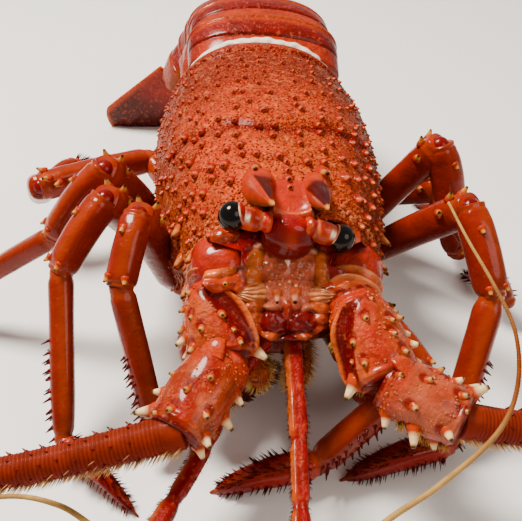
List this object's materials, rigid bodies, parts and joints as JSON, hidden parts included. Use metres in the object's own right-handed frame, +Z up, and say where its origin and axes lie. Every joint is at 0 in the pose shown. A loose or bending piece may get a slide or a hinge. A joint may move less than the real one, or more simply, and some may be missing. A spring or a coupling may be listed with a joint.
{
  "type": "spiny lobster",
  "caption": "Life-size still model of a spiny lobster: spined carapace with frontal horns, ringed tail curled down to its fan, walking legs, long spined antennae and thin antennules.",
  "frame": {"origin": "middle of the base, on the floor that the feet and the tail fan stand on", "axes": "+X towards the animal's left, +Y towards its tail, +Z up"},
  "size_m": [0.4476, 0.291, 0.0781],
  "materials": {
    "granular_shell": "orange-red shell, granular, with pale spines",
    "smooth_shell": "smooth glossy orange-red shell",
    "leg_shell": "smooth glossy red-orange leg shell, darker at the toes",
    "dark_membrane": "glossy dark red joint membrane",
    "horn": "glossy red horn with a golden tip",
    "eye": "wet black",
    "feeler": "ringed red-brown feeler with rows of dark spines",
    "whip": "thin ringed tan feeler"
  },
  "bodies": {
    "root": {"carapace": "granular_shell", "sternum": "smooth_shell", "eye_plate": "dark_membrane", "face_plate": "granular_shell", "horn_left": "horn", "eyestalk_left": "smooth_shell", "eye_left": "eye", "maxilliped_left": "smooth_shell", "antenna_left_base_1": "dark_membrane", "antenna_left_base_2": "granular_shell", "antenna_left_base_3": "granular_shell", "antenna_left_flagellum_1": "feeler", "antenna_left_flagellum_2": "feeler", "antennule_left": "smooth_shell", "antennule_left_outer": "whip", "antennule_left_inner": "whip", "leg_left_1_upper": "leg_shell", "leg_left_1_lower": "leg_shell", "leg_left_2_upper": "leg_shell", "leg_left_2_lower": "leg_shell", "leg_left_3_upper": "leg_shell", "leg_left_3_lower": "leg_shell", "leg_left_4_upper": "leg_shell", "leg_left_4_lower": "leg_shell", "leg_left_5_upper": "leg_shell", "leg_left_5_lower": "leg_shell", "horn_right": "horn", "eyestalk_right": "smooth_shell", "eye_right": "eye", "maxilliped_right": "smooth_shell", "antenna_right_base_1": "dark_membrane", "antenna_right_base_2": "granular_shell", "antenna_right_base_3": "granular_shell", "antenna_right_flagellum_1": "feeler", "antenna_right_flagellum_2": "feeler", "antennule_right": "smooth_shell", "antennule_right_outer": "whip", "antennule_right_inner": "whip", "leg_right_1_upper": "leg_shell", "leg_right_1_lower": "leg_shell", "leg_right_2_upper": "leg_shell", "leg_right_2_lower": "leg_shell", "leg_right_3_upper": "leg_shell", "leg_right_3_lower": "leg_shell", "leg_right_4_upper": "leg_shell", "leg_right_4_lower": "leg_shell", "leg_right_5_upper": "leg_shell", "leg_right_5_lower": "leg_shell", "abdomen_1": "smooth_shell", "abdomen_2": "smooth_shell", "abdomen_3": "smooth_shell", "abdomen_4": "smooth_shell", "abdomen_5": "smooth_shell", "abdomen_6": "smooth_shell", "telson": "smooth_shell", "uropod_left_inner": "smooth_shell", "uropod_left_outer": "smooth_shell", "uropod_right_inner": "smooth_shell", "uropod_right_outer": "smooth_shell"}
  },
  "joints": []
}
